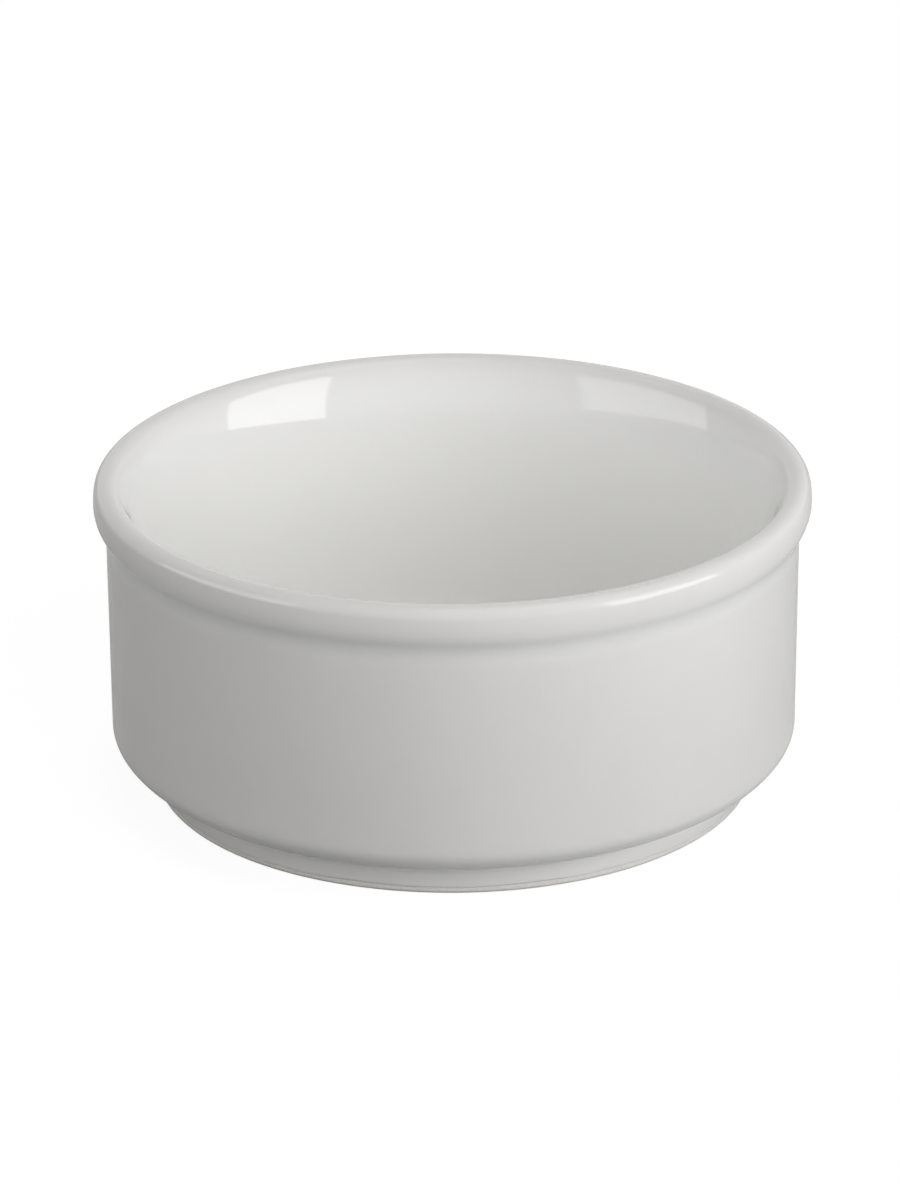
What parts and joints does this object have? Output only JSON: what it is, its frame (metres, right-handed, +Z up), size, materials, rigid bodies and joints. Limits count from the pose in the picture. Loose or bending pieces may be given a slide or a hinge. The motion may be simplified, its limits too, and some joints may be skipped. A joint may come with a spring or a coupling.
{
  "type": "ramekin",
  "caption": "Round white porcelain ramekin with a straight wall, a rolled lip and a stepped foot that stacks on the lip of another.",
  "frame": {"origin": "middle of the foot ring's resting plane", "axes": "+Z up along the axis that every surface is turned about; X and Y are alike"},
  "size_m": [0.09, 0.09, 0.0405],
  "materials": {
    "porcelain": "bare fired clay, ground flat on the foot ring",
    "glaze": "gloss white glaze",
    "underside_glaze": "gloss white glaze"
  },
  "bodies": {
    "root": {"porcelain_body": "porcelain", "glaze_coat": "glaze", "underside_glaze": "underside_glaze"}
  },
  "joints": []
}
